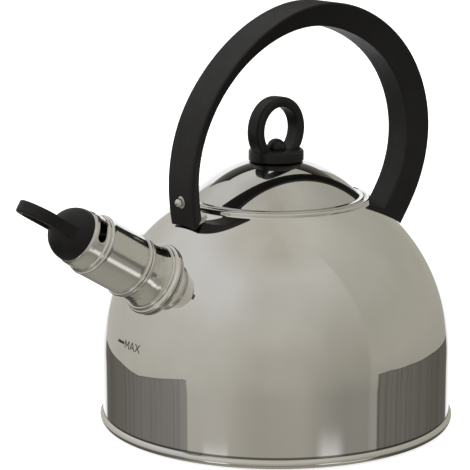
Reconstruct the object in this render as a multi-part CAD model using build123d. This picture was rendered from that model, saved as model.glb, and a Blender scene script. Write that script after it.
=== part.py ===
from build123d import *
import os
from math import sin, cos, acos, radians, degrees, sqrt

os.makedirs("parts", exist_ok=True)

# Stovetop whistling kettle.
# Frame: origin at the centre of the base's underside, +Z up, spout towards -X,
# handle in the XZ plane and leaning towards +X, which is the rear.  Millimetres.

# ---------------------------------------------------------------- driving sizes
SHEET = 0.8            # steel sheet thickness
BODY_R = 103.0         # outer radius of the straight wall
WALL_TOP = 40.0        # height where the straight wall turns into the dome
DOME_H = 108.0         # vertical half axis of the dome
RIM_R = 105.0          # outer radius of the rolled base rim
RIM_BEAD = 2.8         # section radius of that rim
RIM_Z = 3.4            # height of the rim's section centre
FLOOR_Z = 4.0          # underside of the pan floor
BASE_R = 92.0          # radius of the capsule base
LIP_R = 54.0           # radius of the opening's rolled lip (section centre)
LIP_BEAD = 1.2
SEAT_Z = 131.75        # ledge that the lid rests on
COLLAR_R = 48.2        # inner radius of the opening's collar

LID_R = 51.7           # outer radius of the lid's rolled edge
LID_SPHERE = 64.8      # outer radius of curvature of the lid's dome
LID_TOP = 156.4        # apex of the lid's dome
SKIRT_R = 47.6         # outer radius of the lid's locating skirt

DISC_R = 16.2          # knob disc
DISC_Z0, DISC_Z1 = 155.05, 161.5
RING_R, RING_HOLE = 19.6, 13.6
RING_Z = 172.7         # height of the ring's centre
RING_W = 10.4           # ring width
KNOB_TURN = 8.0       # the knob is turned this far about Z from the handle's plane
STUD_R = 5.6           # dome nut in the ring

SPOUT_ANGLE = 31.8     # spout axis above the horizontal
SPOUT_P = (-91.6, 98.9)  # a point on the spout axis, X and Z
NECK_BORE = 16.3
NECK_R = 17.2
SLEEVE_R = 17.8        # whistle barrel
CAP_R = 15.3           # whistle cap
CAP_T = 55.05          # where the cap starts, along the spout axis
TAB_R, TAB_HOLE, TAB_T, TAB_W = 12.8, 8.6, 82.0, 7.0   # pull loop

GRIP_OUT_W, GRIP_IN_W = 25.5, 18.3     # handle width on its outer and inner side
GRIP_GAP = 1.25                        # handle foot above the dome

# ---------------------------------------------------------------- helpers
def lathe(*edges):
    """Turn a closed outline of (radius, height) edges about the Z axis."""
    f = make_face(list(edges)) if len(edges) > 1 else make_face(edges[0])
    return revolve(Plane.XZ * f, Axis.Z)


def turned(pts):
    """Turn a closed polygon of (radius, height) points about the Z axis."""
    return lathe(Polyline(*pts, close=True))


def tube(r0, r1, z0, z1):
    return turned([(r0, z0), (r1, z0), (r1, z1), (r0, z1)])


def bead(r, z, a):
    """A ring of round section of radius a."""
    return Location((0, 0, z)) * Torus(r, a)


def rod(r, z0, z1):
    return Pos(0, 0, (z0 + z1) / 2) * Cylinder(r, z1 - z0)


def dome_line(a, b, sweep):
    """Quarter-ellipse profile of the dome, from the wall up through sweep degrees."""
    n = 12
    ts = [radians(sweep * i / n) for i in range(n + 1)]
    pts = [(a * cos(t), WALL_TOP + b * sin(t)) for t in ts]
    end = (-a * sin(ts[-1]), b * cos(ts[-1]))
    return Spline(*pts, tangents=[(0, 1), end])


def dome_solid(off):
    """Solid of the body's outer shape moved outwards by off, closed at the top."""
    a, b = BODY_R + off, DOME_H + off
    arc = dome_line(a, b, 90)
    return lathe(Line((0, 0), (a, 0)), Line((a, 0), arc @ 0), arc, Line(arc @ 1, (0, 0)))


def one(s):
    """The one solid of a shape."""
    ss = s.solids()
    assert len(ss) == 1, len(ss)
    return ss[0]


parts = {}

# spout frame: local Z along the spout axis outwards, local X its upper side
e = radians(SPOUT_ANGLE)
SPOUT = Location(Plane(origin=(SPOUT_P[0], 0, SPOUT_P[1]), x_dir=(sin(e), 0, cos(e)), z_dir=(-cos(e), 0, sin(e))))

# ---------------------------------------------------------------- body shell
a_i, b_i = BODY_R - SHEET, DOME_H - SHEET
lip_out = LIP_R + LIP_BEAD
r_o = lip_out + 0.4
th_o = degrees(acos(r_o / BODY_R))
r_i = 54.1
th_i = degrees(acos(r_i / a_i))
lip_z = 132.7
skin = dome_line(BODY_R, DOME_H, th_o)
lining = dome_line(a_i, b_i, th_i)
r_o, z_o = tuple(skin @ 1)[:2]
r_i, z_i = tuple(lining @ 1)[:2]
shell = lathe(
    Line((a_i, 4.6), (BODY_R, 4.6)),
    Line((BODY_R, 4.6), (BODY_R, WALL_TOP)),
    skin,
    Line((r_o, z_o), (lip_out, z_o + 0.7)),
    Line((lip_out, z_o + 0.7), (lip_out, lip_z)),
    ThreePointArc((lip_out, lip_z), (LIP_R, lip_z + LIP_BEAD), (LIP_R - LIP_BEAD, lip_z)),
    Line((LIP_R - LIP_BEAD, lip_z), (LIP_R - LIP_BEAD, SEAT_Z)),
    Line((LIP_R - LIP_BEAD, SEAT_Z), (COLLAR_R + 1.1, SEAT_Z)),
    ThreePointArc((COLLAR_R + 1.1, SEAT_Z), (COLLAR_R + 0.322, SEAT_Z - 0.322), (COLLAR_R, SEAT_Z - 1.1)),
    Line((COLLAR_R, SEAT_Z - 1.1), (COLLAR_R, 126.0)),
    Line((COLLAR_R, 126.0), (COLLAR_R + SHEET, 126.0)),
    Line((COLLAR_R + SHEET, 126.0), (COLLAR_R + SHEET, SEAT_Z - 1.1)),
    Line((COLLAR_R + SHEET, SEAT_Z - 1.1), (COLLAR_R + 1.1, SEAT_Z - SHEET)),
    Line((COLLAR_R + 1.1, SEAT_Z - SHEET), (r_i, z_i)),
    lining,
    Line((a_i, WALL_TOP), (a_i, 4.6)),
)
shell = shell - SPOUT * rod(NECK_R + 0.05, -22, 8)
parts["body_shell"] = one(shell)

# ---------------------------------------------------------------- base
pan = (turned([(0, FLOOR_Z), (101.5, FLOOR_Z), (101.5, FLOOR_Z + SHEET), (0, FLOOR_Z + SHEET)])
       + bead(RIM_R - RIM_BEAD, RIM_Z, RIM_BEAD)
       + tube(101.3, 102.15, FLOOR_Z, 5.9))
pan = pan - tube(102.15, 103.05, 4.55, 9.0)
parts["base_pan"] = one(pan)
parts["heat_spreader"] = one(rod(BASE_R - SHEET - 0.25, SHEET + 0.02, FLOOR_Z - 0.05))
cap = turned([(0, 0), (BASE_R - 0.7, 0), (BASE_R - 0.2, 0.2), (BASE_R, 0.7), (BASE_R, FLOOR_Z - 0.05),
              (BASE_R - SHEET, FLOOR_Z - 0.05), (BASE_R - SHEET, SHEET), (0, SHEET)])
parts["base_capsule"] = one(cap)

# ---------------------------------------------------------------- spout neck and flange
neck = lathe(
    Polyline((NECK_BORE, 13.2), (NECK_BORE, -10.0), (NECK_R, -10.0), (NECK_R, -0.78), (18.8, -0.78)),
    Spline((18.8, -0.78), (17.9, 1.6), (17.4, 5.0), (17.3, 10.6), tangents=[(-0.9, 1.0), (0, 1)]),
    Line((17.3, 10.6), (17.3, 11.4)),
    ThreePointArc((17.3, 11.4), (18.3, 12.2), (17.5, 13.2)),
    Line((17.5, 13.2), (NECK_BORE, 13.2)),
)
parts["spout_neck"] = one(SPOUT * neck)
flange = tube(NECK_R + 0.05, 19.3, -11.0, -0.85) + bead(20.2, -4.9, 1.3) + bead(19.2, -1.95, 0.95)
flange = flange - tube(16.0, NECK_R + 0.05, -12, 4)
flange = SPOUT * flange - dome_solid(0.03)
parts["spout_flange"] = one(flange)

# ---------------------------------------------------------------- handle
outer_pts = [(-63.9, 112.0), (-66.7, 124.0), (-68.6, 148.0), (-61.8, 180.6), (-39.6, 213.4), (-8.9, 236.0), (28.0, 245.6),
             (66.9, 235.0), (94.8, 209.6), (108.6, 168.2), (99.4, 127.7), (85.7, 105.6), (80.7, 98.0)]
inner_pts = [(-58.4, 112.0), (-59.7, 124.0), (-61.8, 150.0), (-52.4, 184.4), (-34.1, 208.4), (-7.5, 225.8), (21.5, 232.1),
             (48.4, 226.6), (78.0, 206.2), (94.2, 163.0), (87.1, 134.4), (74.9, 115.2), (68.5, 105.0)]
o_line = Spline(*[(x, 0, z) for x, z in outer_pts])
i_line = Spline(*[(x, 0, z) for x, z in inner_pts])
stations = [0, 0.05, 0.11, 0.17, 0.24, 0.31, 0.38, 0.45, 0.52, 0.59, 0.66, 0.73, 0.80, 0.87, 0.94, 1.0]
sections = []
for u in stations:
    po, pi_ = o_line @ u, i_line @ u
    up = (po - pi_).normalized()
    h = (po - pi_).length
    pl = Plane(origin=pi_, x_dir=(0, 1, 0), z_dir=Vector(0, 1, 0).cross(up))
    wo, wi = GRIP_OUT_W / 2, GRIP_IN_W / 2
    f = make_face(Polyline((-wi, 0), (wi, 0), (wo, h), (-wo, h), close=True))
    f = fillet(f.vertices(), 1.15)
    sections.append(pl * f)
grip = loft(Sketch() + sections)
grip = grip - dome_solid(GRIP_GAP)
grip = max(grip.solids(), key=lambda s: s.volume)

# Each foot holds a steel tongue in a pocket, fixed by a rivet through its outer face.


def foot(px, pz, lean, side):
    """Local frame at a foot: Z up the leg, X towards the handle's outer face."""
    c, s = cos(radians(lean)), sin(radians(lean))
    return Location(Plane(origin=(px, 0, pz), x_dir=(side * c, 0, -side * s), z_dir=(s, 0, c)))


dome_skin = dome_solid(GRIP_GAP - 0.1) - dome_solid(0.03)
feet = {
    "front": dict(loc=foot(-63.4, 124.0, 0.0, -1), z=13.8, face=5.3, pad=(-64.5, -56.8), tall=21.5),
    "rear": dict(loc=foot(79.6, 109.5, 31.0, 1), z=17.0, face=6.8, pad=(73.0, 86.5), tall=26.0),
}
rivets, washers = [], []
for name, ft in feet.items():
    L = ft["loc"]
    tongue = L * (Pos(0, 0, ft["tall"] / 2 - 6) * Box(1.4, 12.0, ft["tall"] + 12))
    tongue = tongue - dome_solid(0.03)
    x0, x1 = ft["pad"]
    pad = dome_skin & (Pos((x0 + x1) / 2, 0, 118) * Box(x1 - x0, 18.0, 60))
    br = tongue + pad
    br = max(br.solids(), key=lambda s: s.volume)
    ax = L * (Pos(0, 0, ft["z"]) * Rot(0, 90, 0))          # local Z of ax points out of the outer face
    br = br - ax * rod(1.65, -4, 4)
    parts["bracket_" + name] = one(br)
    pocket = L * (Pos(0, 0, ft["tall"] / 2 - 6) * Box(1.6, 12.3, ft["tall"] + 12.3))
    grip = grip - pocket
    seat = ft["face"] - 1.1
    grip = grip - ax * rod(1.65, -1.55, 12) - ax * rod(3.9, seat, 14)
    # rivet: shank through foot and tongue, domed head in the counterbore
    shank = rod(1.6, -1.5, seat + 0.7)
    head = rod(2.5, seat + 0.65, seat + 4.4) & (Pos(0, 0, seat + 1.45) * Sphere(2.7))
    rivets.append(one(ax * (shank + head)))
    washers.append(one(ax * tube(1.7, 3.6, seat + 0.02, seat + 0.62)))
grip = max(grip.solids(), key=lambda s: s.volume)
parts["handle_grip"] = grip
parts["handle_rivets"] = Compound(children=rivets)
parts["handle_washers"] = Compound(children=washers)

# ---------------------------------------------------------------- lid
zc = LID_TOP - LID_SPHERE
ri = LID_SPHERE - SHEET


def sph(r, R):
    return zc + sqrt(R * R - r * r)


r_fl = 48.9                      # where the dome meets the flat flange
edge_r, edge_z, edge_a = LID_R - 1.1, 133.1, 1.1
z_fl = edge_z + edge_a           # top of the flange
hole = 2.3
lid = lathe(
    Line((hole, sph(hole, LID_SPHERE)), (hole, sph(hole, ri))),
    ThreePointArc((hole, sph(hole, ri)), (28.0, sph(28.0, ri)), (r_fl - 0.75, sph(r_fl - 0.75, ri))),
    Line((r_fl - 0.75, sph(r_fl - 0.75, ri)), (r_fl - 0.3, z_fl - SHEET)),
    Line((r_fl - 0.3, z_fl - SHEET), (edge_r - 0.75, z_fl - SHEET)),
    Line((edge_r - 0.75, z_fl - SHEET), (edge_r - 0.75, edge_z - 0.8)),
    ThreePointArc((edge_r - 0.75, edge_z - 0.8), (edge_r + 0.55, edge_z - 0.95), (edge_r + edge_a, edge_z)),
    ThreePointArc((edge_r + edge_a, edge_z), (edge_r + 0.778, edge_z + 0.778), (edge_r, z_fl)),
    Line((edge_r, z_fl), (r_fl + 0.5, z_fl)),
    Line((r_fl + 0.5, z_fl), (r_fl - 0.1, sph(r_fl - 0.1, LID_SPHERE))),
    ThreePointArc((r_fl - 0.1, sph(r_fl - 0.1, LID_SPHERE)), (28.0, sph(28.0, LID_SPHERE)), (hole, sph(hole, LID_SPHERE))),
)
parts["lid_shell"] = one(lid)
skirt = tube(SKIRT_R - SHEET, SKIRT_R, 120.5, sph(SKIRT_R, ri) - 0.05)
parts["lid_skirt"] = one(skirt)

# knob: heat washer, disc, ring, dome nut, screw and washer
DISC_IN = 13.6
recess = 157.1
hw = lathe(
    Line((2.2, sph(2.2, LID_SPHERE) + 0.03), (2.2, recess - 0.03)),
    Line((2.2, recess - 0.03), (DISC_IN - 0.1, recess - 0.03)),
    Line((DISC_IN - 0.1, recess - 0.03), (DISC_IN - 0.1, sph(DISC_IN - 0.1, LID_SPHERE) + 0.03)),
    ThreePointArc((DISC_IN - 0.1, sph(DISC_IN - 0.1, LID_SPHERE) + 0.03), (7.0, sph(7.0, LID_SPHERE) + 0.03), (2.2, sph(2.2, LID_SPHERE) + 0.03)),
)
parts["knob_heat_washer"] = one(hw)
disc = lathe(
    Polyline((2.2, recess), (DISC_IN, recess), (DISC_IN, DISC_Z0), (DISC_R - 0.7, DISC_Z0)),
    ThreePointArc((DISC_R - 0.7, DISC_Z0), (DISC_R - 0.205, DISC_Z0 + 0.205), (DISC_R, DISC_Z0 + 0.7)),
    Line((DISC_R, DISC_Z0 + 0.7), (DISC_R, DISC_Z1 - 1.4)),
    ThreePointArc((DISC_R, DISC_Z1 - 1.4), (DISC_R - 0.41, DISC_Z1 - 0.41), (DISC_R - 1.4, DISC_Z1)),
    Polyline((DISC_R - 1.4, DISC_Z1), (13.2, DISC_Z1), (12.6, DISC_Z1 - 0.5), (2.2, DISC_Z1 - 0.5), (2.2, recess)),
)
w = RING_W / 2
ring_sec = make_face(Polyline((RING_HOLE, -w + 1.3), (RING_HOLE + 1.0, -w + 0.35), (RING_HOLE + 1.9, -w + 0.35), (RING_HOLE + 2.3, -w),
                              (RING_R - 1.4, -w), (RING_R - 0.35, -w + 0.75), (RING_R, -w + 2.0), (RING_R, w - 2.0), (RING_R - 0.35, w - 0.75),
                              (RING_R - 1.4, w), (RING_HOLE + 2.3, w), (RING_HOLE + 1.9, w - 0.35), (RING_HOLE + 1.0, w - 0.35),
                              (RING_HOLE, w - 1.3), close=True))
ring = revolve(Plane.XZ * ring_sec, Axis.Z)                          # about Z, then laid along Y
ring = Pos(0, 0, RING_Z) * (Rot(90, 0, 0) * ring)
foot_z = DISC_Z1 - 1.25
bar_z = DISC_Z1 + 0.1                                                # top of the flat bar that closes the ring below
ring = ring - Pos(0, 0, foot_z - 20) * Box(60, 60, 40)
ring = ring + Pos(0, 0, (foot_z + bar_z) / 2) * Box(17.0, RING_W - 0.7, bar_z - foot_z)
ring = ring - rod(2.2, 150, 168)
ring = Rot(0, 0, KNOB_TURN) * ring
parts["knob_ring"] = one(ring)
parts["knob_disc"] = one(disc - ring)                                # the ring's feet sit in pockets of the disc

stud_z = 162.0
stud = Pos(0, 0, stud_z) * Sphere(STUD_R)
stud = stud - Pos(0, 0, DISC_Z1 - 0.45 - 10) * Box(30, 30, 20)
stud = stud - Pos(0, 0, bar_z + 0.05 - 5) * Box(40, 40, 10) - rod(2.05, 155, 165.9)
parts["knob_dome_nut"] = max(stud.solids(), key=lambda s: s.volume)
under = sph(5.2, ri)
parts["lid_screw_washer"] = one(tube(2.15, 5.2, under - 0.95, under - 0.05))
screw = rod(2.0, 153.0, 165.6) + turned([(0, 152.0), (2.6, 152.0), (3.7, 152.7), (3.7, under - 1.0), (0, under - 1.0)])
parts["lid_screw"] = one(screw)

# ---------------------------------------------------------------- whistle
sleeve_out = [(17.8, 14.6), (17.8, 42.4), (17.95, 42.8), (17.85, 43.3), (16.95, 43.8), (16.9, 44.3), (17.3, 44.7), (17.25, 45.3),
              (16.4, 45.9), (16.3, 46.6), (16.25, 51.0), (15.95, 53.4), (15.2, 55.0)]
sleeve_in = [(2.1, 55.0), (2.1, 54.3), (14.7, 54.3), (15.25, 53.1), (15.55, 51.0), (15.6, 45.6), (16.2, 44.9), (16.2, 43.4), (17.1, 42.8),
             (17.1, 14.6)]
sleeve = turned(sleeve_out + sleeve_in) + bead(17.9, 14.6, 0.9)
window = SlotOverall(12.8, 5.2)
SLOT_PHI = 62.0
cutter = Rot(0, 0, -SLOT_PHI) * (Pos(0, 0, 49.6) * (Rot(0, 90, 0) * extrude(Rot(0, 0, 90) * window, 22)))
sleeve = sleeve - cutter
parts["whistle_sleeve"] = one(SPOUT * sleeve)

spigot = (tube(14.6, 15.3, -5.0, 14.85) + tube(15.0, 16.85, 14.15, 14.85)
          + tube(15.2, 15.85, 0.2, 0.7) + tube(15.2, 15.85, 6.3, 6.8))
parts["whistle_spigot"] = one(SPOUT * spigot)

clip = tube(15.45, 16.1, 1.0, 6.0) - Pos(-16, 0, 3.5) * Box(6, 5.0, 8)
parts["whistle_spring_clip"] = one(SPOUT * clip)

disc_in = turned([(1.7, 35.6), (15.8, 35.6), (17.05, 36.4), (17.05, 39.9), (16.55, 39.9), (16.55, 36.7), (15.6, 36.1), (1.7, 36.1)])
parts["whistle_disc_inner"] = one(SPOUT * disc_in)
disc_out = turned([(1.7, 41.2), (8.0, 41.0), (15.5, 39.95), (17.05, 39.95), (17.05, 40.45), (15.6, 40.45), (8.0, 41.5), (1.7, 41.7)])
parts["whistle_disc_outer"] = one(SPOUT * disc_out)

cap = lathe(Line((0, CAP_T), (CAP_R - 0.3, CAP_T)), Line((CAP_R - 0.3, CAP_T), (CAP_R, CAP_T + 0.35)),
            ThreePointArc((CAP_R, CAP_T + 0.35), (CAP_R * cos(radians(45)), CAP_T + 0.35 + CAP_R * sin(radians(45))), (0, CAP_T + 0.35 + CAP_R)),
            Line((0, CAP_T + 0.35 + CAP_R), (0, CAP_T)))
# pull loop: flat in the plane of the spout axis and Y
loop = Pos(TAB_T, 0) * Circle(TAB_R) + Pos((TAB_T + 62.0) / 2, 0) * Rectangle(TAB_T - 62.0, 2 * TAB_R)
loop = loop - (Pos(TAB_T, 0) * Circle(TAB_HOLE) + Pos(TAB_T - 5, 0) * Rectangle(10, 2 * TAB_HOLE) + Pos(TAB_T - 10, 0) * Circle(TAB_HOLE))
tab = extrude(loop, TAB_W / 2, both=True)
tab = fillet(tab.edges().filter_by(lambda ed: abs(abs(ed.center().Z) - TAB_W / 2) < 1e-3 and ed.center().X > 63.0), 1.0)
tab = Plane(origin=(0, 0, 0), x_dir=(0, 0, 1), z_dir=(1, 0, 0)).location * tab      # X of the sketch to the spout axis
cap = cap + tab
cap = cap - rod(2.05, CAP_T - 1, CAP_T + 9)
parts["whistle_cap"] = one(SPOUT * cap)
rivet = rod(2.0, 53.6, CAP_T + 8.7) + turned([(0, 52.2), (3.0, 52.2), (3.8, 52.9), (3.8, 54.25), (0, 54.25)])
parts["whistle_rivet"] = one(SPOUT * rivet)

# ---------------------------------------------------------------- export
for name, shape in parts.items():
    shape.label = name
    export_step(shape, f"parts/{name}.step")
print(len(parts), "parts")
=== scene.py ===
# Stovetop whistling kettle: looks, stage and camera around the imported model.
# Row frame: metres, +Z up, spout towards -X, handle in the XZ plane.
import math
from math import sin, cos, sqrt, radians, pi

import bpy
import bmesh
import numpy as np
from mathutils import Matrix, Vector


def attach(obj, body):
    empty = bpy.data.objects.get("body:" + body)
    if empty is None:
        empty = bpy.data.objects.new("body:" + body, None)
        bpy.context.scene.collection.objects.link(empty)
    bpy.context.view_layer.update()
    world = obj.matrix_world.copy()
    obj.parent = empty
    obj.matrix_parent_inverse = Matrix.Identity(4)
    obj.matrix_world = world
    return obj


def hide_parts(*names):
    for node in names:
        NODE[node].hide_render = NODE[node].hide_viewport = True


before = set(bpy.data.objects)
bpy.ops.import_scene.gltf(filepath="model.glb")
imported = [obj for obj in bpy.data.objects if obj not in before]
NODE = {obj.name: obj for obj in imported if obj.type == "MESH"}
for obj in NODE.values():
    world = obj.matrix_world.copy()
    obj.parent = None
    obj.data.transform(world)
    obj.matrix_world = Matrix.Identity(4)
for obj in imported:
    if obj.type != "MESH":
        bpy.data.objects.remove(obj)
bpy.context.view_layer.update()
scene = bpy.context.scene
MM = 0.001

# ------------------------------------------------------------------ sizes, mm
SHEET = 0.8
BODY_R, WALL_TOP, DOME_H = 103.0, 40.0, 108.0
LIP_R, LIP_BEAD, LIP_Z, SEAT_Z, COLLAR_R = 54.0, 1.2, 132.7, 131.75, 48.2
LID_R, LID_SPHERE, LID_TOP = 51.7, 64.8, 156.4
ZC = LID_TOP - LID_SPHERE
E = radians(31.8)
SPOUT = Matrix(((sin(E), 0, -cos(E), -91.6 * MM), (0, 1, 0, 0), (cos(E), 0, sin(E), 98.9 * MM), (0, 0, 0, 1)))


# ------------------------------------------------------------------ mesh helpers
def finish_mesh(ob, sharp=32.0):
    me = ob.data
    me.shade_smooth()
    me.set_sharp_from_angle(angle=radians(sharp))


def piece(name, verts, faces, body, mat, replaces=(), loc=None, sharp=32.0):
    """New mesh piece from points in millimetres, in its own frame loc."""
    me = bpy.data.meshes.new(name)
    me.from_pydata((np.asarray(verts, float) * MM).tolist(), [], faces)
    bm = bmesh.new()
    bm.from_mesh(me)
    bmesh.ops.remove_doubles(bm, verts=bm.verts, dist=2e-7)
    bmesh.ops.recalc_face_normals(bm, faces=bm.faces)
    bm.to_mesh(me)
    bm.free()
    ob = bpy.data.objects.new(name, me)
    scene.collection.objects.link(ob)
    if loc is not None:
        ob.matrix_world = loc
    if mat is not None:
        me.materials.append(mat)
    finish_mesh(ob, sharp)
    if body:
        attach(ob, body)
    if replaces:
        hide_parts(*replaces)
    return ob


def rounded(pts, rad, closed=True, n=5):
    """Outline through pts with its corners rounded to rad (one number, or one each)."""
    m, out = len(pts), []
    rad = rad if hasattr(rad, "__len__") else [rad] * m
    for i in range(m):
        p, r = np.array(pts[i], float), rad[i]
        if r <= 0 or (not closed and i in (0, m - 1)):
            out.append(p)
            continue
        u, v = np.array(pts[i - 1]) - p, np.array(pts[(i + 1) % m]) - p
        lu, lv = np.linalg.norm(u), np.linalg.norm(v)
        u, v = u / lu, v / lv
        ang = math.acos(max(-1, min(1, float(u @ v))))
        if ang > pi - 1e-3:
            out.append(p)
            continue
        t = min(r / math.tan(ang / 2), 0.46 * lu, 0.46 * lv)
        rr = t * math.tan(ang / 2)
        bis = (u + v) / np.linalg.norm(u + v)
        c = p + bis * rr / sin(ang / 2)
        s, e = p + u * t - c, p + v * t - c
        turn = math.copysign(pi - ang, s[0] * e[1] - s[1] * e[0])
        for k in range(n + 1):
            a = turn * k / n
            out.append(c + np.array([s[0] * cos(a) - s[1] * sin(a), s[0] * sin(a) + s[1] * cos(a)]))
    return [tuple(q) for q in out]


def arc(cx, cz, r, a0, a1, n):
    return [(cx + r * cos(radians(a0 + (a1 - a0) * k / n)), cz + r * sin(radians(a0 + (a1 - a0) * k / n))) for k in range(n + 1)]


def ellipse(a, b, t0, t1, step):
    """Points evenly spaced along the dome's profile between two parameter angles, in degrees."""
    t = np.radians(np.linspace(t0, t1, 2000))
    x, z = a * np.cos(t), WALL_TOP + b * np.sin(t)
    s = np.concatenate([[0], np.cumsum(np.hypot(np.diff(x), np.diff(z)))])
    q = np.linspace(0, s[-1], max(2, int(round(s[-1] / step)) + 1))
    return list(zip(np.interp(q, s, x), np.interp(q, s, z)))


def lathe_data(prof, seg, closed):
    prof = np.array(prof, float)
    n = len(prof)
    a = np.arange(seg) / seg * 2 * pi
    v = np.stack([np.outer(prof[:, 0], np.cos(a)), np.outer(prof[:, 0], np.sin(a)), np.repeat(prof[:, 1][:, None], seg, 1)], -1)
    faces = []
    for i in range(n if closed else n - 1):
        j = (i + 1) % n
        for k in range(seg):
            l = (k + 1) % seg
            faces.append((i * seg + k, i * seg + l, j * seg + l, j * seg + k))
    return v.reshape(-1, 3), faces


def lathe(name, prof, seg, body, mat, replaces=(), loc=None, closed=True, sharp=32.0):
    v, f = lathe_data(prof, seg, closed)
    return piece(name, v, f, body, mat, replaces, loc, sharp)


def cut(ob, verts, faces, loc=None, sharp=32.0, operation="DIFFERENCE"):
    """Boolean of ob with a closed tool mesh given in millimetres."""
    tool = piece("cutter", verts, faces, None, None, loc=loc)
    mod = ob.modifiers.new("cut", "BOOLEAN")
    mod.operation, mod.solver, mod.object = operation, "EXACT", tool
    bpy.context.view_layer.update()
    ev = ob.evaluated_get(bpy.context.evaluated_depsgraph_get())
    me = bpy.data.meshes.new_from_object(ev)
    ob.modifiers.clear()
    old = ob.data
    ob.data = me
    bpy.data.meshes.remove(old)
    bpy.data.objects.remove(tool)
    finish_mesh(ob, sharp)


def cyl(r, z0, z1, seg=64):
    return lathe_data([(0, z0), (r, z0), (r, z1), (0, z1)], seg, False)


# ------------------------------------------------------------------ material helpers
class Graph:
    """Short names for building node trees."""

    def __init__(self, tree):
        self.t = tree
        tree.nodes.clear()

    def add(self, kind, ins=None, **props):
        n = self.t.nodes.new(kind)
        for k, v in props.items():
            setattr(n, k, v)
        for k, v in (ins or {}).items():
            self.put(n.inputs[k], v)
        return n

    def put(self, socket, v):
        if isinstance(v, bpy.types.NodeSocket):
            self.t.links.new(v, socket)
        else:
            socket.default_value = v

    def m(self, op, a, b=None, c=None, clamp=False):
        n = self.t.nodes.new("ShaderNodeMath")
        n.operation, n.use_clamp = op, clamp
        for i, v in enumerate((a, b, c)):
            if v is not None:
                self.put(n.inputs[i], v)
        return n.outputs[0]

    def noise(self, vec, scale, detail=3.0, rough=0.55, dist=0.0):
        n = self.add("ShaderNodeTexNoise", {"Vector": vec, "Scale": scale, "Detail": detail, "Roughness": rough, "Distortion": dist})
        return n.outputs["Fac"]

    def ramp(self, fac, stops, interp="LINEAR"):
        n = self.t.nodes.new("ShaderNodeValToRGB")
        cr = n.color_ramp
        cr.interpolation = interp
        while len(cr.elements) < len(stops):
            cr.elements.new(0.5)
        for e, (p, c) in zip(cr.elements, stops):
            e.position = p
            c = (c, c, c) if not hasattr(c, "__len__") else c
            e.color = (*c, 1.0)
        self.put(n.inputs[0], fac)
        return n.outputs[0]

    def map(self, v, a, b, c, d, kind="LINEAR"):
        n = self.add("ShaderNodeMapRange", {"From Min": a, "From Max": b, "To Min": c, "To Max": d, "Value": v}, interpolation_type=kind)
        return n.outputs[0]

    def mix(self, fac, a, b, mode="MIX"):
        n = self.t.nodes.new("ShaderNodeMix")
        n.data_type, n.blend_type = "RGBA", mode
        self.put(n.inputs[0], fac)
        for s, v in ((n.inputs[6], a), (n.inputs[7], b)):
            self.put(s, (*v, 1.0) if isinstance(v, tuple) and len(v) == 3 else v)
        return n.outputs[2]

    def scaled(self, vec, s):
        return self.add("ShaderNodeVectorMath", {0: vec, 1: s}, operation="MULTIPLY").outputs[0]

    def bump(self, height, distance, strength=1.0, normal=None):
        n = self.add("ShaderNodeBump", {"Height": height, "Distance": distance, "Strength": strength})
        if normal is not None:
            self.put(n.inputs["Normal"], normal)
        return n.outputs[0]


def material(name, display):
    m = bpy.data.materials.new(name)
    m.use_nodes = True
    m.diffuse_color = (*display, 1.0)
    g = Graph(m.node_tree)
    g.bsdf = g.add("ShaderNodeBsdfPrincipled")
    out = g.add("ShaderNodeOutputMaterial", {"Surface": g.bsdf.outputs[0]})
    g.obj = g.add("ShaderNodeTexCoord").outputs["Object"]
    return m, g


def steel(name, tone, rough, lines=0.0, wave=1.0, blotch=0.012, lines_scale=2600.0, grain_r=0.0, groove_shade=False):
    """Stainless steel: tone is its colour, rough its base roughness, lines the depth of its turning marks."""
    m, g = material(name, tone)
    b = g.bsdf
    b.inputs["Metallic"].default_value = 1.0
    cloud = g.noise(g.obj, 14.0, 3.0, 0.5)
    smudge = g.noise(g.obj, 46.0, 5.0, 0.62, 0.6)
    fine = g.noise(g.scaled(g.obj, (22.0, 22.0, lines_scale)), 1.0, 4.0, 0.6)
    tint = g.mix(g.map(cloud, 0.3, 0.7, 0.0, 1.0), tuple(c * 0.965 for c in tone), tuple(min(1.0, c * 1.02) for c in tone))
    tint = g.mix(g.map(smudge, 0.60, 0.78, 0.0, 0.10), tint, tuple(c * 0.86 for c in tone))
    if groove_shade:                                               # painted shade: a dark line painted where the wall meets the rolled rim, standing in for the shade in the groove between them
        z = g.add("ShaderNodeSeparateXYZ", {0: g.obj}).outputs[2]
        tint = g.mix(g.map(z, 0.0068, 0.0074, 0.86, 0.0), tint, tuple(c * 0.12 for c in tone))
    g.put(b.inputs["Base Color"], tint)
    r = g.m("ADD", g.map(smudge, 0.35, 0.75, rough, rough + blotch), g.map(fine, 0.3, 0.7, -grain_r, grain_r))
    g.put(b.inputs["Roughness"], r)
    soft = g.noise(g.obj, 26.0, 1.0, 0.4)
    n = g.bump(soft, 0.00012 * wave, 0.35)
    if lines:
        n = g.bump(fine, lines, 0.6, n)
    g.put(b.inputs["Normal"], n)
    return m


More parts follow.
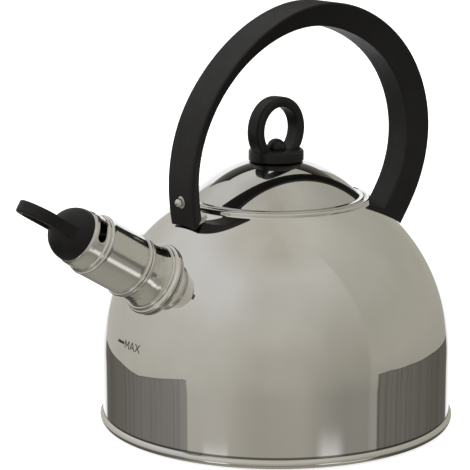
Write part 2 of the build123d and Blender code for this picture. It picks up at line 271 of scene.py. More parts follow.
def phenolic(name, low, high, rough, grain=1.0, spec=0.42):
    """Black moulded phenolic: fine mould grain, slight cloudiness, dust and rubbed spots."""
    m, g = material(name, high)
    b = g.bsdf
    cloud = g.noise(g.obj, 55.0, 4.0, 0.6)
    speck = g.noise(g.obj, 2300.0, 2.0, 0.5)
    rub = g.noise(g.obj, 120.0, 6.0, 0.7, 0.8)
    col = g.mix(g.map(cloud, 0.3, 0.72, 0.0, 1.0), low, high)
    col = g.mix(g.map(speck, 0.66, 0.80, 0.0, 0.35), col, tuple(c * 2.2 for c in high))
    g.put(b.inputs["Base Color"], col)
    g.put(b.inputs["Roughness"], g.m("ADD", g.map(rub, 0.35, 0.72, rough + 0.05, rough - 0.05), g.map(speck, 0.3, 0.7, -0.03, 0.03)))
    b.inputs["Specular IOR Level"].default_value = spec
    n = g.bump(g.noise(g.obj, 900.0, 3.0, 0.6), 0.00006 * grain, 0.5)
    n = g.bump(speck, 0.00003 * grain, 0.6, n)
    g.put(b.inputs["Normal"], n)
    return m


STEEL = (0.715, 0.700, 0.672)
M_POLISH = steel("polished_steel", STEEL, 0.030, lines=2.0e-7)
M_LID = steel("polished_steel_lid", tuple(c * 0.87 for c in STEEL), 0.030, lines=2.0e-7)
M_SPOUT = steel("polished_spout_steel", STEEL, 0.060, lines=6.0e-7, wave=0.6, blotch=0.03, grain_r=0.015)
M_BARREL = steel("barrel_steel", STEEL, 0.115, lines=6.0e-7, wave=0.5, blotch=0.04, grain_r=0.02)
# the body's polished steel, with a painted shade line low on the wall where it meets the rolled rim
M_BODY = steel("polished_body_steel", STEEL, 0.030, lines=2.0e-7, groove_shade=True)
M_BASE = steel("spun_base_steel", (0.60, 0.59, 0.575), 0.26, lines=4.0e-6, blotch=0.08, grain_r=0.05)
M_BRACKET = steel("bracket_steel", (0.62, 0.61, 0.60), 0.20, lines=2.5e-6, blotch=0.05, grain_r=0.04)
M_RIVET = steel("rivet_steel", (0.68, 0.67, 0.66), 0.16, lines=0.0, blotch=0.06)
M_SPRING = steel("spring_steel", (0.50, 0.49, 0.48), 0.24, lines=2.0e-6, blotch=0.06, grain_r=0.03)
M_ALU = steel("aluminium_core", (0.78, 0.78, 0.79), 0.34, lines=5.0e-6, blotch=0.08, grain_r=0.05)
M_BLACK = phenolic("black_phenolic", (0.0055, 0.0053, 0.0054), (0.0095, 0.0092, 0.0092), 0.46, 1.0, 0.26)
M_KNOB = phenolic("black_phenolic_knob", (0.0055, 0.0054, 0.0054), (0.0090, 0.0088, 0.0088), 0.36, 0.8, 0.30)
M_MARK = steel("etched_mark", (0.075, 0.073, 0.07), 0.48, lines=3.0e-6, blotch=0.1)

# ------------------------------------------------------------------ body shell
a_i, b_i = BODY_R - SHEET, DOME_H - SHEET
r_o = LIP_R + LIP_BEAD + 0.4
th_o = math.degrees(math.acos(r_o / BODY_R))
th_i = math.degrees(math.acos(54.1 / a_i))
skin = ellipse(BODY_R, DOME_H, 0, th_o, 1.25)
lining = ellipse(a_i, b_i, th_i, 0, 1.8)
wall = [(BODY_R, z) for z in np.linspace(4.6, WALL_TOP - 1.3, 24)]
z_o = skin[-1][1]
lo_, li_ = LIP_R + LIP_BEAD, LIP_R - LIP_BEAD
lip = rounded([skin[-2], (r_o, z_o), (lo_, z_o + 0.55), (lo_, LIP_Z)], [0, 0.5, 0.5, 0], closed=False)[1:]
lip += arc(LIP_R, LIP_Z, LIP_BEAD, 0, 180, 16)[1:]
collar = rounded([(li_, LIP_Z), (li_, SEAT_Z), (COLLAR_R, SEAT_Z), (COLLAR_R, 126.0), (COLLAR_R + SHEET, 126.0),
                  (COLLAR_R + SHEET, SEAT_Z - SHEET), lining[0]], [0, 0.5, 1.1, 0.25, 0.25, 0.6, 0], closed=False)[1:-1]
inner_wall = [(a_i, z) for z in np.linspace(WALL_TOP - 2, 4.6, 12)]
body = lathe("kettle_body", wall + skin[:-1] + lip + collar + lining + inner_wall, 320, "kettle", M_BODY, ["body_shell"])
cut(body, *cyl(17.25, -22, 8, 96), loc=SPOUT)

# ------------------------------------------------------------------ base
bead_arc = arc(102.2, 3.4, 2.8, 72.3, -192.4, 44)
pan = [(0, 4.8), (60, 4.8), (98, 4.8)] + rounded([(98, 4.8), (101.3, 4.8), (101.3, 5.9), (102.15, 5.9), (102.15, 4.55), (103.05, 4.55), (103.05, 6.0)],
                                         [0, 0.5, 0.2, 0.2, 0, 0, 0], closed=False)[1:] + bead_arc + [(60, 4.0), (0, 4.0)]
lathe("base_rim", pan, 320, "kettle", M_POLISH, ["base_pan"], closed=False)
rings = []
for k in range(46):                                     # spun underside with two pressed rings
    r = 90.2 * (1 - k / 46)
    z = 0.0 + (0.12 * max(0.0, 1 - abs(r - 62.0) / 2.4) + 0.12 * max(0.0, 1 - abs(r - 30.0) / 2.4))
    rings.append((r, z))
cap = [(0, 0.8), (91.2, 0.8), (91.2, 3.95)] + rounded([(91.2, 3.95), (92.0, 3.95), (92.0, 0.0), (90.2, 0.0)], [0, 0.15, 0.9, 0], closed=False)[1:-1] + rings + [(0, 0.0)]
lathe("base_disc", cap, 256, "kettle", M_BASE, ["base_capsule"], closed=False)

# ------------------------------------------------------------------ spout neck and flange
neck = [(16.3, 13.0), (16.3, -10.0), (17.2, -10.0), (17.2, -0.78), (18.8, -0.78)]
flare = np.array([(18.8, -0.78), (18.4, -0.1), (17.9, 1.6), (17.55, 3.9), (17.36, 6.6), (17.3, 10.4)])
neck += [tuple(p) for p in flare[1:]] + arc(17.35, 12.25, 0.95, -70, 80, 10) + [(16.6, 13.2)]
lathe("spout_neck_tube", rounded(neck, [0.2, 0.2, 0.2, 0, 0.3] + [0.6] * 5 + [0] * 11 + [0.2], n=3), 128, "kettle", M_SPOUT,
      ["spout_neck"], loc=SPOUT)
fl = [(17.25, -9.0), (17.25, -0.85), (18.5, -0.85)] + arc(19.2, -1.95, 0.95, 115, -70, 12) + arc(20.2, -4.9, 1.3, 82, -100, 12) + [(19.3, -6.5), (19.3, -9.0)]
flange = lathe("spout_flange_ring", rounded(fl, [0, 0.25, 0] + [0] * 13 + [0] * 13 + [0, 0], n=3), 128, "kettle", M_SPOUT, ["spout_flange"], loc=SPOUT)
g_ = 0.03
dome_tool = lathe_data([(0, 20.0), (BODY_R + g_, 20.0)] + ellipse(BODY_R + g_, DOME_H + g_, 0, 90, 1.6)[:-1] + [(0, WALL_TOP + DOME_H + g_)], 320, False)
cut(flange, *dome_tool)

# ------------------------------------------------------------------ handle
OUTER = [(-63.9, 112.0), (-66.7, 124.0), (-68.6, 148.0), (-61.8, 180.6), (-39.6, 213.4), (-8.9, 236.0), (28.0, 245.6),
         (66.9, 235.0), (94.8, 209.6), (108.6, 168.2), (99.4, 127.7), (85.7, 105.6), (80.7, 98.0)]
INNER = [(-58.4, 112.0), (-59.7, 124.0), (-61.8, 150.0), (-52.4, 184.4), (-34.1, 208.4), (-7.5, 225.8), (21.5, 232.1),
         (48.4, 226.6), (78.0, 206.2), (94.2, 163.0), (87.1, 134.4), (74.9, 115.2), (68.5, 105.0)]


def smooth_line(pts, us):
    """Points at shares us of the length of the smooth cubic curve through pts."""
    P = np.array(pts, float)
    n = len(P)
    t = np.concatenate([[0], np.cumsum(np.linalg.norm(np.diff(P, axis=0), axis=1))])
    h = np.diff(t)
    A, B = np.zeros((n, n)), np.zeros((n, 2))

    def slope(i, j, k):
        d1, d2 = (P[j] - P[i]) / (t[j] - t[i]), (P[k] - P[j]) / (t[k] - t[j])
        return d1 - (d2 - d1) / (t[k] - t[i]) * (t[j] - t[i])

    A[0, 0] = A[-1, -1] = 1
    B[0], B[-1] = slope(0, 1, 2), slope(n - 1, n - 2, n - 3)
    for i in range(1, n - 1):
        A[i, i - 1], A[i, i], A[i, i + 1] = h[i], 2 * (h[i - 1] + h[i]), h[i - 1]
        B[i] = 3 * (h[i] / h[i - 1] * (P[i] - P[i - 1]) + h[i - 1] / h[i] * (P[i + 1] - P[i]))
    M = np.linalg.solve(A, B)
    q = np.linspace(0, t[-1], 6001)
    i = np.clip(np.searchsorted(t, q, side="right") - 1, 0, n - 2)
    w = ((q - t[i]) / h[i])[:, None]
    H = h[i][:, None]
    C = (2 * w**3 - 3 * w**2 + 1) * P[i] + (w**3 - 2 * w**2 + w) * H * M[i] + (-2 * w**3 + 3 * w**2) * P[i + 1] + (w**3 - w**2) * H * M[i + 1]
    s = np.concatenate([[0], np.cumsum(np.linalg.norm(np.diff(C, axis=0), axis=1))])
    u = np.asarray(us) * s[-1]
    return np.stack([np.interp(u, s, C[:, 0]), np.interp(u, s, C[:, 1])], -1)


us = np.linspace(0, 1, 1201)
po, pi_ = smooth_line(OUTER, us), smooth_line(INNER, us)
up = po - pi_
hh = np.linalg.norm(up, axis=1)
up = up / hh[:, None]
wi, wo = 18.3 / 2, 25.5 / 2
loops = []
for k in range(len(us)):
    sec = rounded([(-wi, 0), (wi, 0), (wo, hh[k]), (-wo, hh[k])], 1.15, n=6)
    full = []
    for i, (a, b) in enumerate(zip(sec, sec[1:] + sec[:1])):            # points along the flats too
        m_ = 8 if i % 7 == 6 else 1
        full += [(a[0] + (b[0] - a[0]) * j / m_, a[1] + (b[1] - a[1]) * j / m_) for j in range(m_)]
    loops.append(full)
L = np.array(loops)                                      # station, point, (across, up)
G3 = np.stack([pi_[:, None, 0] + L[..., 1] * up[:, None, 0], L[..., 0], pi_[:, None, 1] + L[..., 1] * up[:, None, 1]], -1)


def outside(p, off=1.25):
    return (p[..., 0] ** 2 + p[..., 1] ** 2) / (BODY_R + off) ** 2 + ((p[..., 2] - WALL_TOP) / (DOME_H + off)) ** 2 - 1


F = outside(G3)
ns, npt = 300, G3.shape[1]
grip = np.zeros((ns, npt, 3))
for j in range(npt):
    f = F[:, j]
    mid = len(us) // 2
    a = mid - np.argmax(f[:mid + 1][::-1] <= 0) if (f[:mid + 1] <= 0).any() else 0
    b = mid + np.argmax(f[mid:] <= 0) if (f[mid:] <= 0).any() else len(us) - 1
    s0 = a + f[a] / (f[a] - f[a + 1]) if f[a] <= 0 else float(a)
    s1 = b - 1 + f[b - 1] / (f[b - 1] - f[b]) if f[b] <= 0 else float(b)
    q = s0 + (s1 - s0) * (0.5 - 0.5 * np.cos(pi * (np.linspace(0, 1, ns) * 0.9 + 0.05)) - (0.5 - 0.5 * cos(pi * 0.05))) / (cos(pi * 0.05))
    for c in range(3):
        grip[:, j, c] = np.interp(q, np.arange(len(us)), G3[:, j, c])
ends = []
for i, k in ((0, 1), (ns - 1, ns - 2)):                  # rounded edge round each foot
    ring = grip[i].copy()
    mid_p = ring.mean(0)
    d = grip[k] - ring
    d /= np.linalg.norm(d, axis=1)[:, None]
    inw = mid_p - ring
    inw -= (inw * d).sum(1)[:, None] * d
    inw /= np.linalg.norm(inw, axis=1)[:, None]
    ends.append([ring + inw * 0.7 + d * 0.0, ring + inw * 0.2 + d * 0.2, ring + d * 0.7])
rows = ends[0] + [grip[i] for i in range(1, ns - 1)] + ends[1][::-1]
nr = len(rows)
gv = np.concatenate(rows)
gf = [(i * npt + j, i * npt + (j + 1) % npt, (i + 1) * npt + (j + 1) % npt, (i + 1) * npt + j) for i in range(nr - 1) for j in range(npt)]
gf += [tuple(range(npt)), tuple((nr - 1) * npt + j for j in reversed(range(npt)))]
handle = piece("handle", gv, gf, "kettle", M_BLACK, ["handle_grip"], sharp=40)


def foot(px, pz, lean, side):
    c, s = cos(radians(lean)), sin(radians(lean))
    z, x = Vector((s, 0, c)), Vector((side * c, 0, -side * s))
    y = z.cross(x)
    return Matrix(((x[0], y[0], z[0], px * MM), (x[1], y[1], z[1], 0), (x[2], y[2], z[2], pz * MM), (0, 0, 0, 1)))


FEET = [(foot(-63.4, 124.0, 0.0, -1), 13.8, 5.3), (foot(79.6, 109.5, 31.0, 1), 17.0, 6.8)]
heads = []
for Lf, zf, face in FEET:
    ax = Lf @ Matrix.Translation((0, 0, zf * MM)) @ Matrix.Rotation(radians(90), 4, "Y")
    seat = face - 1.1
    cut(handle, *cyl(3.9, seat, 14, 56), loc=ax, sharp=40)
    heads.append((ax, seat))


def joined(name, parts, body, mat, replaces, sharp=32.0):
    """One piece from several lathed solids, each (profile, segments, closed, matrix)."""
    vs, fs, o = [], [], 0
    for prof, seg, closed, M in parts:
        v, f = lathe_data(prof, seg, closed)
        A = np.array(M)
        vs.append(v @ A[:3, :3].T + A[:3, 3] / MM)
        fs += [tuple(x + o for x in q) for q in f]
        o += len(v)
    return piece(name, np.concatenate(vs), fs, body, mat, replaces, sharp=sharp)


def rivet_prof(seat):
    head = rounded([(0, seat + 4.15), (1.3, seat + 3.95), (2.15, seat + 3.1), (2.5, seat + 1.9), (2.5, seat + 0.65), (1.6, seat + 0.65), (1.6, -1.5), (0, -1.5)],
                   [0, 0.8, 0.8, 0.6, 0.12, 0, 0.1, 0], closed=False)
    return [(0, seat + 4.15)] + head[1:]


joined("handle_rivet_heads", [(rivet_prof(s), 48, False, a) for a, s in heads], "kettle", M_RIVET, ["handle_rivets"])
joined("handle_rivet_washers", [(rounded([(1.7, s + 0.02), (3.6, s + 0.02), (3.6, s + 0.62), (1.7, s + 0.62)], 0.16, n=3), 56, True, a) for a, s in heads],
       "kettle", M_RIVET, ["handle_washers"])

# ------------------------------------------------------------------ lid
def sph(r, R):
    return ZC + sqrt(R * R - r * r)


ri = LID_SPHERE - SHEET
a_top = math.degrees(math.asin(48.8 / LID_SPHERE))
a_hole = math.degrees(math.asin(2.3 / LID_SPHERE))
dome_out = arc(0, ZC, LID_SPHERE, 90 - a_top, 90 - a_hole, 64)
dome_in = arc(0, ZC, ri, 90 - math.degrees(math.asin(2.3 / ri)), 90 - math.degrees(math.asin(48.15 / ri)), 48)
er, ez, ea = LID_R - 1.1, 133.1, 1.1
edge = rounded([dome_out[1], dome_out[0], (er - 0.6, ez + ea)], [0, 0.7, 0], closed=False)[1:-1]
edge = edge[::-1]
roll = arc(er, ez, ea, -150, 90, 26)
prof = roll + edge + dome_out[1:] + dome_in + rounded([dome_in[-1], (48.6, ez + ea - SHEET), (er - 0.75, ez + ea - SHEET), (er - 0.75, ez - 0.4)],
                                                        [0, 0.3, 0.3, 0], closed=False)[1:]
lathe("lid_dome", prof, 256, "lid", M_LID, ["lid_shell"])
lathe("lid_skirt_ring", rounded([(46.8, 120.5), (47.6, 120.5), (47.6, sph(47.6, ri) - 0.05), (46.8, sph(47.6, ri) - 0.05)], 0.25, n=3), 256, "lid",
      M_POLISH, ["lid_skirt"])

# ------------------------------------------------------------------ knob
DZ0, DZ1, DR = 155.05, 161.5, 16.2
disc = rounded([(2.2, 157.1), (13.6, 157.1), (13.6, DZ0), (DR, DZ0), (DR, DZ1), (13.1, DZ1), (12.5, DZ1 - 0.5), (2.2, DZ1 - 0.5)],
               [0, 0.2, 0.2, 0.7, 1.4, 0.3, 0.3, 0], n=7)
lathe("knob_base_disc", disc, 160, "lid", M_KNOB, ["knob_disc"])
w, ro, rh = 5.2, 19.6, 13.6
ring_prof = rounded([(rh, -w + 1.3), (rh + 1.0, -w + 0.35), (rh + 1.9, -w + 0.35), (rh + 2.3, -w), (ro - 1.4, -w), (ro - 0.35, -w + 0.75), (ro, -w + 2.0),
                     (ro, w - 2.0), (ro - 0.35, w - 0.75), (ro - 1.4, w), (rh + 2.3, w), (rh + 1.9, w - 0.35), (rh + 1.0, w - 0.35), (rh, w - 1.3)],
                    [0.5, 0.3, 0.12, 0.15, 0.4, 0.5, 0.8, 0.8, 0.5, 0.4, 0.15, 0.12, 0.3, 0.5], n=4)
RING = Matrix.Rotation(radians(8.0), 4, "Z") @ Matrix.Translation((0, 0, 172.7 * MM)) @ Matrix.Rotation(radians(90), 4, "X")
ring_ob = lathe("knob_pull_ring", ring_prof, 192, "lid", M_KNOB, ["knob_ring"], loc=RING)
cut(ring_ob, *cyl(40, 120.0, 160.3, 48))                 # its feet stand in the disc
lathe("knob_centre_dome", [(0, 159.5), (5.2, 159.5)] + arc(0, 162.0, 5.6, -8, 90, 24)[:-1] + [(0, 167.6)], 72, "lid", M_KNOB,
      ["knob_dome_nut"], closed=False)

# ------------------------------------------------------------------ whistle
so = [(17.8, 14.6), (17.8, 42.3), (18.0, 42.9), (17.75, 43.4), (16.95, 43.75), (16.9, 44.3), (17.35, 44.75), (17.25, 45.35), (16.45, 45.9), (16.3, 46.6),
      (16.25, 51.0), (15.95, 53.4), (15.2, 55.0)]
si = [(2.1, 55.0), (2.1, 54.3), (14.7, 54.3), (15.25, 53.1), (15.55, 51.0), (15.6, 45.6), (16.2, 44.9), (16.2, 43.4), (17.1, 42.8), (17.1, 14.6)]
so_r = [0, 0, 0.35, 0.3, 0.25, 0.25, 0.3, 0.3, 0.3, 0.5, 1.2, 1.2, 0.5]
si_r = [0, 0, 0.4, 0.4, 0.4, 0.3, 0.3, 0.3, 0.3, 0]
lower = arc(17.9, 14.6, 0.9, 200, 465, 22)               # rolled lower edge
body_prof = rounded(so[1:] + si[:-1], so_r[1:] + si_r[:-1], closed=False, n=4)
full = lower + [(17.8, z) for z in np.linspace(16.6, 41.0, 14)] + body_prof + [(17.1, z) for z in np.linspace(41.0, 16.6, 8)]
sleeve = lathe("whistle_barrel", full, 160, "whistle", M_BARREL, ["whistle_sleeve"], loc=SPOUT, sharp=38)
n_s = 20
slot2 = [(3.8 + 2.6 * cos(t), 2.6 * sin(t)) for t in np.linspace(-pi / 2, pi / 2, n_s)] + [(-3.8 + 2.6 * cos(t), 2.6 * sin(t)) for t in np.linspace(pi / 2, 3 * pi / 2, n_s)]
ph = radians(-62.0)
sv = []
for rad_ in (13.2, 22.0):
    for q, dt in slot2:                                  # long way round the barrel, short way along it
        ox, oy = rad_ * cos(ph) - q * sin(ph), rad_ * sin(ph) + q * cos(ph)
        sv.append((ox, oy, 49.6 + dt))
m2 = len(slot2)
sf = [tuple(range(m2)), tuple(reversed(range(m2, 2 * m2)))] + [(i, (i + 1) % m2, m2 + (i + 1) % m2, m2 + i) for i in range(m2)]
cut(sleeve, sv, sf, loc=SPOUT, sharp=38)

# moulded cap and pull loop, blended into one skin
cap_v, cap_f = lathe_data([(0, 55.05)] + rounded([(9.0, 55.05), (15.1, 55.05), (15.3, 55.6)], [0, 0.25, 0], closed=False, n=3) + arc(0, 55.4, 15.3, 2, 89, 40) + [(0, 70.7)], 128, False)
path = [(t, 10.7) for t in np.linspace(58.0, 82.0, 14)] + [(82.0 + 10.7 * sin(a), 10.7 * cos(a)) for a in np.linspace(0, pi, 40)[1:-1]] + [(t, -10.7) for t in np.linspace(82.0, 58.0, 14)]
path = np.array(path)
tan = np.gradient(path, axis=0)
tan /= np.linalg.norm(tan, axis=1)[:, None]
nor = np.stack([tan[:, 1], -tan[:, 0]], -1)              # points to the hole's side or away, the section is symmetric
sec = np.array(rounded([(-2.1, -3.5), (2.1, -3.5), (2.1, 3.5), (-2.1, 3.5)], 1.0, n=5))
lv = []
for p, q in zip(path, nor):
    for u, h_ in sec:
        lv.append((h_, p[1] + q[1] * u, p[0] + q[0] * u))
k2, mm_ = len(sec), len(path)
lf = [(i * k2 + j, i * k2 + (j + 1) % k2, (i + 1) * k2 + (j + 1) % k2, (i + 1) * k2 + j) for i in range(mm_ - 1) for j in range(k2)]
lf += [tuple(range(k2)), tuple((mm_ - 1) * k2 + j for j in reversed(range(k2)))]
both_v = np.concatenate([cap_v, np.array(lv)])
both_f = list(cap_f) + [tuple(x + len(cap_v) for x in q) for q in lf]
cap_ob = piece("whistle_cap_moulding", both_v, both_f, "whistle", M_BLACK, ["whistle_cap"], loc=SPOUT, sharp=180)
rm = cap_ob.modifiers.new("skin", "REMESH")
rm.mode, rm.voxel_size, rm.use_smooth_shade = "VOXEL", 0.00034, True
sm = cap_ob.modifiers.new("soften", "SMOOTH")
sm.factor, sm.iterations = 0.5, 9
bpy.context.view_layer.update()
me = bpy.data.meshes.new_from_object(cap_ob.evaluated_get(bpy.context.evaluated_depsgraph_get()))
cap_ob.modifiers.clear()
cap_ob.data = me
me.shade_smooth()

# ------------------------------------------------------------------ level mark, thin strokes just proud of the wall
def on_wall(y, z, off):
    R = (BODY_R + off) * sqrt(max(0.0, 1 - ((z - WALL_TOP) / (DOME_H + off)) ** 2)) if z > WALL_TOP else BODY_R + off
    return (-sqrt(R * R - y * y), y, z)


mv, mf = [], []


def stroke(y0, z0, y1, z1, wd, n=10):
    d = np.array([y1 - y0, z1 - z0], float)
    d /= np.linalg.norm(d)
    s = np.array([-d[1], d[0]]) * wd / 2
    o = len(mv)
    for k in range(n + 1):
        y, z = y0 + (y1 - y0) * k / n, z0 + (z1 - z0) * k / n
        for sy, off in ((1, -0.03), (1, 0.045), (-1, 0.045), (-1, -0.03)):
            mv.append(on_wall(y + sy * s[0], z + sy * s[1], off))
    for k in range(n):
        a = o + 4 * k
        mf.extend([(a + j, a + (j + 1) % 4, a + 4 + (j + 1) % 4, a + 4 + j) for j in range(4)])
    mf.append((o, o + 1, o + 2, o + 3))
    mf.append(tuple(o + 4 * n + j for j in (3, 2, 1, 0)))


ML, MH, MW = 56.2, 4.6, 0.62
stroke(18.2, 58.7, 10.6, 58.7, 1.5)
for u0, glyph in ((9.4, "M"), (4.0, "A"), (-1.2, "X")):
    gw = 4.2
    P_ = lambda fx, fz: (u0 - fx * gw, ML + fz * MH)
    lines = {"M": [(0, 0, 0.02, 1), (0.02, 1, 0.5, 0.3), (0.5, 0.3, 0.98, 1), (0.98, 1, 1, 0)],
             "A": [(0, 0, 0.5, 1), (0.5, 1, 1, 0), (0.2, 0.33, 0.8, 0.33)],
             "X": [(0, 0, 1, 1), (0, 1, 1, 0)]}[glyph]
    for x0, z0, x1, z1 in lines:
        stroke(*P_(x0, z0), *P_(x1, z1), MW)
me = bpy.data.meshes.new("level_mark")
me.from_pydata((np.array(mv) * MM).tolist(), [], mf)
bm = bmesh.new()
bm.from_mesh(me)
bmesh.ops.recalc_face_normals(bm, faces=bm.faces)
bm.to_mesh(me)
bm.free()
mark = bpy.data.objects.new("level_mark", me)
scene.collection.objects.link(mark)
me.materials.append(M_MARK)
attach(mark, "kettle")

# ------------------------------------------------------------------ the CAD nodes that stay
KEEP = {
    "heat_spreader": M_ALU, "bracket_front": M_BRACKET, "bracket_rear": M_BRACKET, "knob_heat_washer": M_BLACK,
    "lid_screw": M_RIVET, "lid_screw_washer": M_RIVET, "whistle_spigot": M_BRACKET, "whistle_spring_clip": M_SPRING,
    "whistle_disc_inner": M_BRACKET, "whistle_disc_outer": M_BRACKET, "whistle_rivet": M_RIVET,
}
for n, m in KEEP.items():
    ob = NODE[n]
    ob.data.materials.clear()
    ob.data.materials.append(m)

# ------------------------------------------------------------------ studio
FWD = Vector((0.5855, 0.7826, -0.2117)).normalized()
RIGHT = Vector((0.80043, -0.59942, -0.00241)).normalized()
UP = RIGHT.cross(FWD).normalized()
cam_data = bpy.data.cameras.new("camera")
cam_data.sensor_width = 36.0
cam_data.lens = 2000.0 / 470.0 * 36.0
cam_data.clip_start, cam_data.clip_end = 0.05, 40.0
cam = bpy.data.objects.new("camera", cam_data)
scene.collection.objects.link(cam)
B = -FWD
cam.matrix_world = Matrix(((RIGHT[0], UP[0], B[0], -0.70776), (RIGHT[1], UP[1], B[1], -0.90590), (RIGHT[2], UP[2], B[2], 0.35904), (0, 0, 0, 1)))
scene.camera = cam

back_h = Vector((B[0], B[1], 0)).normalized()
right_h = Vector((-back_h[1], back_h[0], 0))


def tone(r, g_, b):
    """Light that shows as this display colour in the polished steel."""
    lin = [((c / 255 + 0.055) / 1.055) ** 2.4 for c in (r, g_, b)]
    return tuple(v / s for v, s in zip(lin, STEEL))


world = bpy.data.worlds.new("studio")
world.use_nodes = True
scene.world = world
g = Graph(world.node_tree)
d = g.add("ShaderNodeTexCoord").outputs["Generated"]


def dot(v):
    return g.add("ShaderNodeVectorMath", {0: d, 1: tuple(v)}, operation="DOT_PRODUCT").outputs["Value"]


az = g.m("MULTIPLY", g.m("ARCTAN2", dot(right_h), dot(back_h)), 180 / pi)
el = g.m("MULTIPLY", g.m("ARCSINE", dot((0, 0, 1))), 180 / pi)
e01 = g.map(el, -20.0, 90.0, 0.0, 1.0)


def at(e):
    return (e + 20.0) / 110.0


mid = g.ramp(e01, [(at(-20), tone(150, 146, 135)), (at(-8), tone(158, 154, 143)), (at(8), tone(163, 159, 148)), (at(18), tone(171, 167, 157)), (at(35), tone(175, 172, 163)),
                   (at(56), tone(178, 175, 166)), (at(72), tone(168, 163, 152)), (at(88), tone(172, 166, 154))])
left = g.ramp(e01, [(at(-20), tone(166, 162, 153)), (at(-8), tone(171, 168, 158)), (at(8), tone(175, 172, 163)), (at(18), tone(179, 176, 167)), (at(34), tone(189, 187, 182)),
                    (at(50), tone(193, 191, 187)), (at(68), tone(178, 174, 165)), (at(88), tone(173, 167, 155))])
right = g.ramp(e01, [(at(-20), tone(128, 125, 118)), (at(-8), tone(141, 138, 127)), (at(8), tone(152, 148, 136)), (at(18), tone(158, 154, 143)), (at(34), tone(168, 165, 155)),
                     (at(54), tone(181, 178, 170)), (at(68), tone(177, 174, 164)), (at(88), tone(173, 168, 156))])
far_r = g.ramp(e01, [(at(-20), tone(140, 137, 130)), (at(0), tone(157, 153, 141)), (at(20), tone(155, 152, 140)), (at(50), tone(168, 165, 155)), (at(70), tone(178, 175, 165)), (at(88), tone(175, 170, 159))])
tent = g.mix(g.map(az, -8.0, -48.0, 0.0, 1.0, "SMOOTHSTEP"), mid, left)
tent = g.mix(g.map(az, 12.0, 46.0, 0.0, 1.0, "SMOOTHSTEP"), tent, right)
tent = g.mix(g.map(az, 60.0, 64.0, 0.0, 1.0, "SMOOTHSTEP"), tent, far_r)
# soft cloudiness of the tent's cloth
cloud = g.noise(g.scaled(d, (1.0, 1.0, 1.0)), 2.2, 3.0, 0.5)
tent = g.mix(1.0, tent, g.ramp(cloud, [(0.3, 0.965), (0.7, 1.035)]), "MULTIPLY")

# below the horizon the cloth gives way to a dull floor, with one bright streak to the right
low = g.ramp(g.map(el, -90.0, -18.0, 0.0, 1.0), [(0.0, tone(141, 138, 127)), (0.40, tone(138, 135, 124)), (0.74, tone(118, 115, 106)), (0.86, tone(128, 125, 115)), (1.0, tone(148, 145, 134))])
col = g.mix(g.map(el, -25.0, -17.0, 1.0, 0.0, "SMOOTHSTEP"), tent, low)
beam = g.m("MULTIPLY", g.map(g.m("ABSOLUTE", g.m("ADD", el, 35.0)), 2.0, 8.5, 1.0, 0.0, "SMOOTHSTEP"), g.m("MULTIPLY", g.map(az, 38.0, 48.0, 0.0, 1.0, "SMOOTHSTEP"), g.map(az, 66.0, 76.0, 1.0, 0.0, "SMOOTHSTEP")))
col = g.mix(beam, col, tone(226, 222, 214))

# two patches of bright table close to the foot, seen low in the wall
for a0, a1, amount, soft, top in ((-49.0, -32.5, 1.0, 1.8, -18.05), (27.5, 42.0, 0.85, 4.0, -17.65)):
    low_glow = g.m("MULTIPLY", g.map(el, top, -19.2, 0.0, 1.0, "SMOOTHSTEP"), g.map(el, -40.0, -30.0, 0.0, 1.0, "SMOOTHSTEP"))
    spot = g.m("MULTIPLY", g.map(az, a0 - soft, a0 + soft, 0.0, 1.0, "SMOOTHSTEP"), g.map(az, a1 - soft, a1 + soft, 1.0, 0.0, "SMOOTHSTEP"))
    col = g.mix(g.m("MULTIPLY", g.m("MULTIPLY", spot, low_glow), amount), col, tone(240, 239, 236))

# pale backdrop low down behind, its side edges leaning outwards with height
aabs = g.m("ABSOLUTE", az)
past = g.m("SUBTRACT", aabs, g.m("MULTIPLY_ADD", g.m("MAXIMUM", g.m("ADD", el, 11.0), 0.0), 2.3, 152.0))
behind = g.m("MULTIPLY", g.map(past, -1.6, 2.4, 0.0, 1.0, "SMOOTHSTEP"), g.map(el, -27.0, -20.0, 0.0, 1.0, "SMOOTHSTEP"))
pale = g.ramp(g.map(past, 0.0, 22.0, 0.0, 1.0), [(0.0, tone(212, 210, 207)), (0.5, tone(234, 233, 232)), (1.0, tone(245, 245, 245))])
col = g.mix(behind, col, pale)

# dark side panels below the horizon, with upright streaks
streak = g.add("ShaderNodeCombineXYZ", {0: g.m("MULTIPLY", az, 0.42), 1: g.m("MULTIPLY", el, 0.015), 2: 3.7}).outputs[0]
st = g.noise(streak, 1.0, 4.0, 0.62)
stw = g.map(st, 0.32, 0.70, 0.74, 1.30)


def edge(a0, a1, pts):
    """Elevation of a panel's top edge along the azimuth."""
    r = g.ramp(g.map(az, a0, a1, 0.0, 1.0), [((a - a0) / (a1 - a0), (e + 20.0) / 20.0) for a, e in pts])
    return g.m("SUBTRACT", g.m("MULTIPLY", r, 20.0), 20.0)


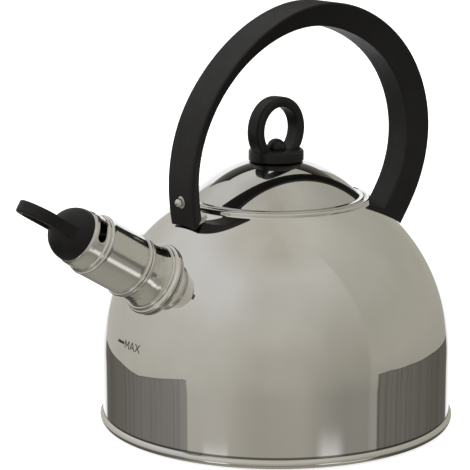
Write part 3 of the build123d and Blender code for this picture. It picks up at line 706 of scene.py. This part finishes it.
edge_l = edge(-152.0, -60.0, [(-148, -12.0), (-134, -12.3), (-123, -12.4), (-116, -12.9), (-109, -13.5), (-101.6, -13.9), (-89.7, -12.9), (-80.7, -12.0), (-63.0, -9.8)])
edge_r = edge(66.0, 152.0, [(68, -8.1), (77, -7.8), (86, -8.5), (96, -8.7), (106, -9.3), (119, -9.8), (132, -10.7), (146, -11.6)])
for a0, a1, rim, tones, low_t in (
        (-151.0, -60.4, edge_l, [(0.0, tone(94, 92, 87)), (0.14, tone(90, 87, 80)), (0.3, tone(97, 94, 88)), (0.6, tone(110, 107, 102)), (0.85, tone(116, 113, 108)), (1.0, tone(130, 127, 121))], 0.62),
        (67.8, 150.8, edge_r, [(0.0, tone(104, 101, 94)), (0.4, tone(96, 93, 86)), (0.75, tone(84, 81, 74)), (1.0, tone(92, 89, 82))], 0.55)):
    inside = g.m("MULTIPLY", g.map(az, a0 - 0.5, a0 + 0.5, 0.0, 1.0), g.map(az, a1 - 0.5, a1 + 0.5, 1.0, 0.0))
    depth = g.m("SUBTRACT", rim, el)                       # degrees below the panel's top edge
    inside = g.m("MULTIPLY", inside, g.map(depth, -0.12, 0.12, 0.0, 1.0))
    inside = g.m("MULTIPLY", inside, g.map(el, -60.0, -46.0, 0.0, 1.0, "SMOOTHSTEP"))
    dark = g.mix(1.0, g.ramp(g.map(az, a0, a1, 0.0, 1.0), tones), g.ramp(stw, [(0.0, 0.0), (1.0, 1.0)]), "MULTIPLY")
    dark = g.mix(g.map(depth, 0.15, 0.55, 0.55, 0.0), dark, tone(66, 64, 60))
    dark = g.mix(g.map(el, -34.0, -18.0, 1.0, 0.0), dark, g.mix(1.0, dark, (low_t, low_t, low_t), "MULTIPLY"))
    col = g.mix(inside, col, dark)
bg = g.add("ShaderNodeBackground", {"Color": col, "Strength": 1.0})
g.add("ShaderNodeOutputWorld", {"Surface": bg.outputs[0]})

# pale floor and backdrop; the steel mirrors the soft tent and not the floor
fm, fg = material("pale_floor", (0.9, 0.9, 0.9))
fg.put(fg.bsdf.inputs["Base Color"], fg.mix(fg.map(fg.noise(fg.obj, 3.0, 3.0), 0.3, 0.7, 0.0, 1.0), (0.86, 0.86, 0.86), (0.88, 0.88, 0.88)))
fg.bsdf.inputs["Roughness"].default_value = 0.9
fg.bsdf.inputs["Specular IOR Level"].default_value = 0.1
fg.bsdf.inputs["Emission Color"].default_value = (1, 1, 1, 1)
fg.bsdf.inputs["Emission Strength"].default_value = 0.70
v, f = lathe_data([(0, 0), (400, 0), (1500, 0), (5200, 0), (6400, 160), (7200, 700), (7700, 1600), (7900, 2900), (7900, 5200), (6200, 7400), (0, 8200)], 96, False)
floor = piece("floor", v, f, None, fm, loc=Matrix.Translation((0, 0, -0.0004)))
floor.visible_glossy = False
floor.visible_transmission = False
floor.visible_diffuse = False
floor.visible_shadow = False


# a white card with a dark head, close behind the kettle, that only the polished steel mirrors
cm, cg = material("card_cloth", (0.9, 0.9, 0.9))
sep = cg.add("ShaderNodeSeparateXYZ", {0: cg.obj})
cx, cz = sep.outputs[0], sep.outputs[2]
cl_ = cg.noise(cg.obj, 9.0, 3.0)
head = cg.map(cz, 0.228, 0.236, 0.0, 1.0)
shade = cg.ramp(cg.map(cz, 0.236, 0.345, 0.0, 1.0), [(0.0, tone(108, 105, 98)), (0.35, tone(78, 75, 68)), (0.8, tone(44, 42, 37)), (1.0, tone(32, 30, 26))])
white = cg.mix(cg.map(cl_, 0.3, 0.7, 0.0, 1.0), tone(229, 228, 226), tone(238, 238, 237))
cg.put(cg.bsdf.inputs["Base Color"], (0.0, 0.0, 0.0, 1.0))
cg.bsdf.inputs["Specular IOR Level"].default_value = 0.0
cg.put(cg.bsdf.inputs["Emission Color"], cg.mix(head, white, shade))
cg.bsdf.inputs["Emission Strength"].default_value = 1.0
fwd_h = -back_h
card_v = [(x, 0.0, z) for x, z in ((-130, 62), (87, 62), (87, 232), (147, 232), (147, 346), (-156, 346), (-156, 232), (-130, 232))]
card = piece("backdrop_card", card_v, [tuple(range(8))], None, cm,
             loc=Matrix(((right_h[0], fwd_h[0], 0, fwd_h[0] * 0.2), (right_h[1], fwd_h[1], 0, fwd_h[1] * 0.2), (0, 0, 1, 0), (0, 0, 0, 1))))
for flag in ("visible_camera", "visible_diffuse", "visible_transmission", "visible_shadow"):
    setattr(card, flag, False)


def area(name, loc, size, energy, target=(0, 0, 0.05)):
    ld = bpy.data.lights.new(name, "AREA")
    ld.shape, ld.size, ld.energy = "DISK", size, energy
    o = bpy.data.objects.new(name, ld)
    scene.collection.objects.link(o)
    o.location = loc
    o.rotation_mode = "QUATERNION"
    o.rotation_quaternion = (Vector(target) - Vector(loc)).to_track_quat("-Z", "Y")
    o.visible_glossy = False
    o.visible_camera = False
    return o


area("top_light", (0.1, 0.0, 2.2), 2.6, 42.0)
area("side_light", (-1.7, -0.6, 1.3), 1.4, 9.0)

scene.view_settings.view_transform = "Standard"
scene.view_settings.look = "None"
scene.view_settings.exposure = 0.0
scene.view_settings.gamma = 1.0
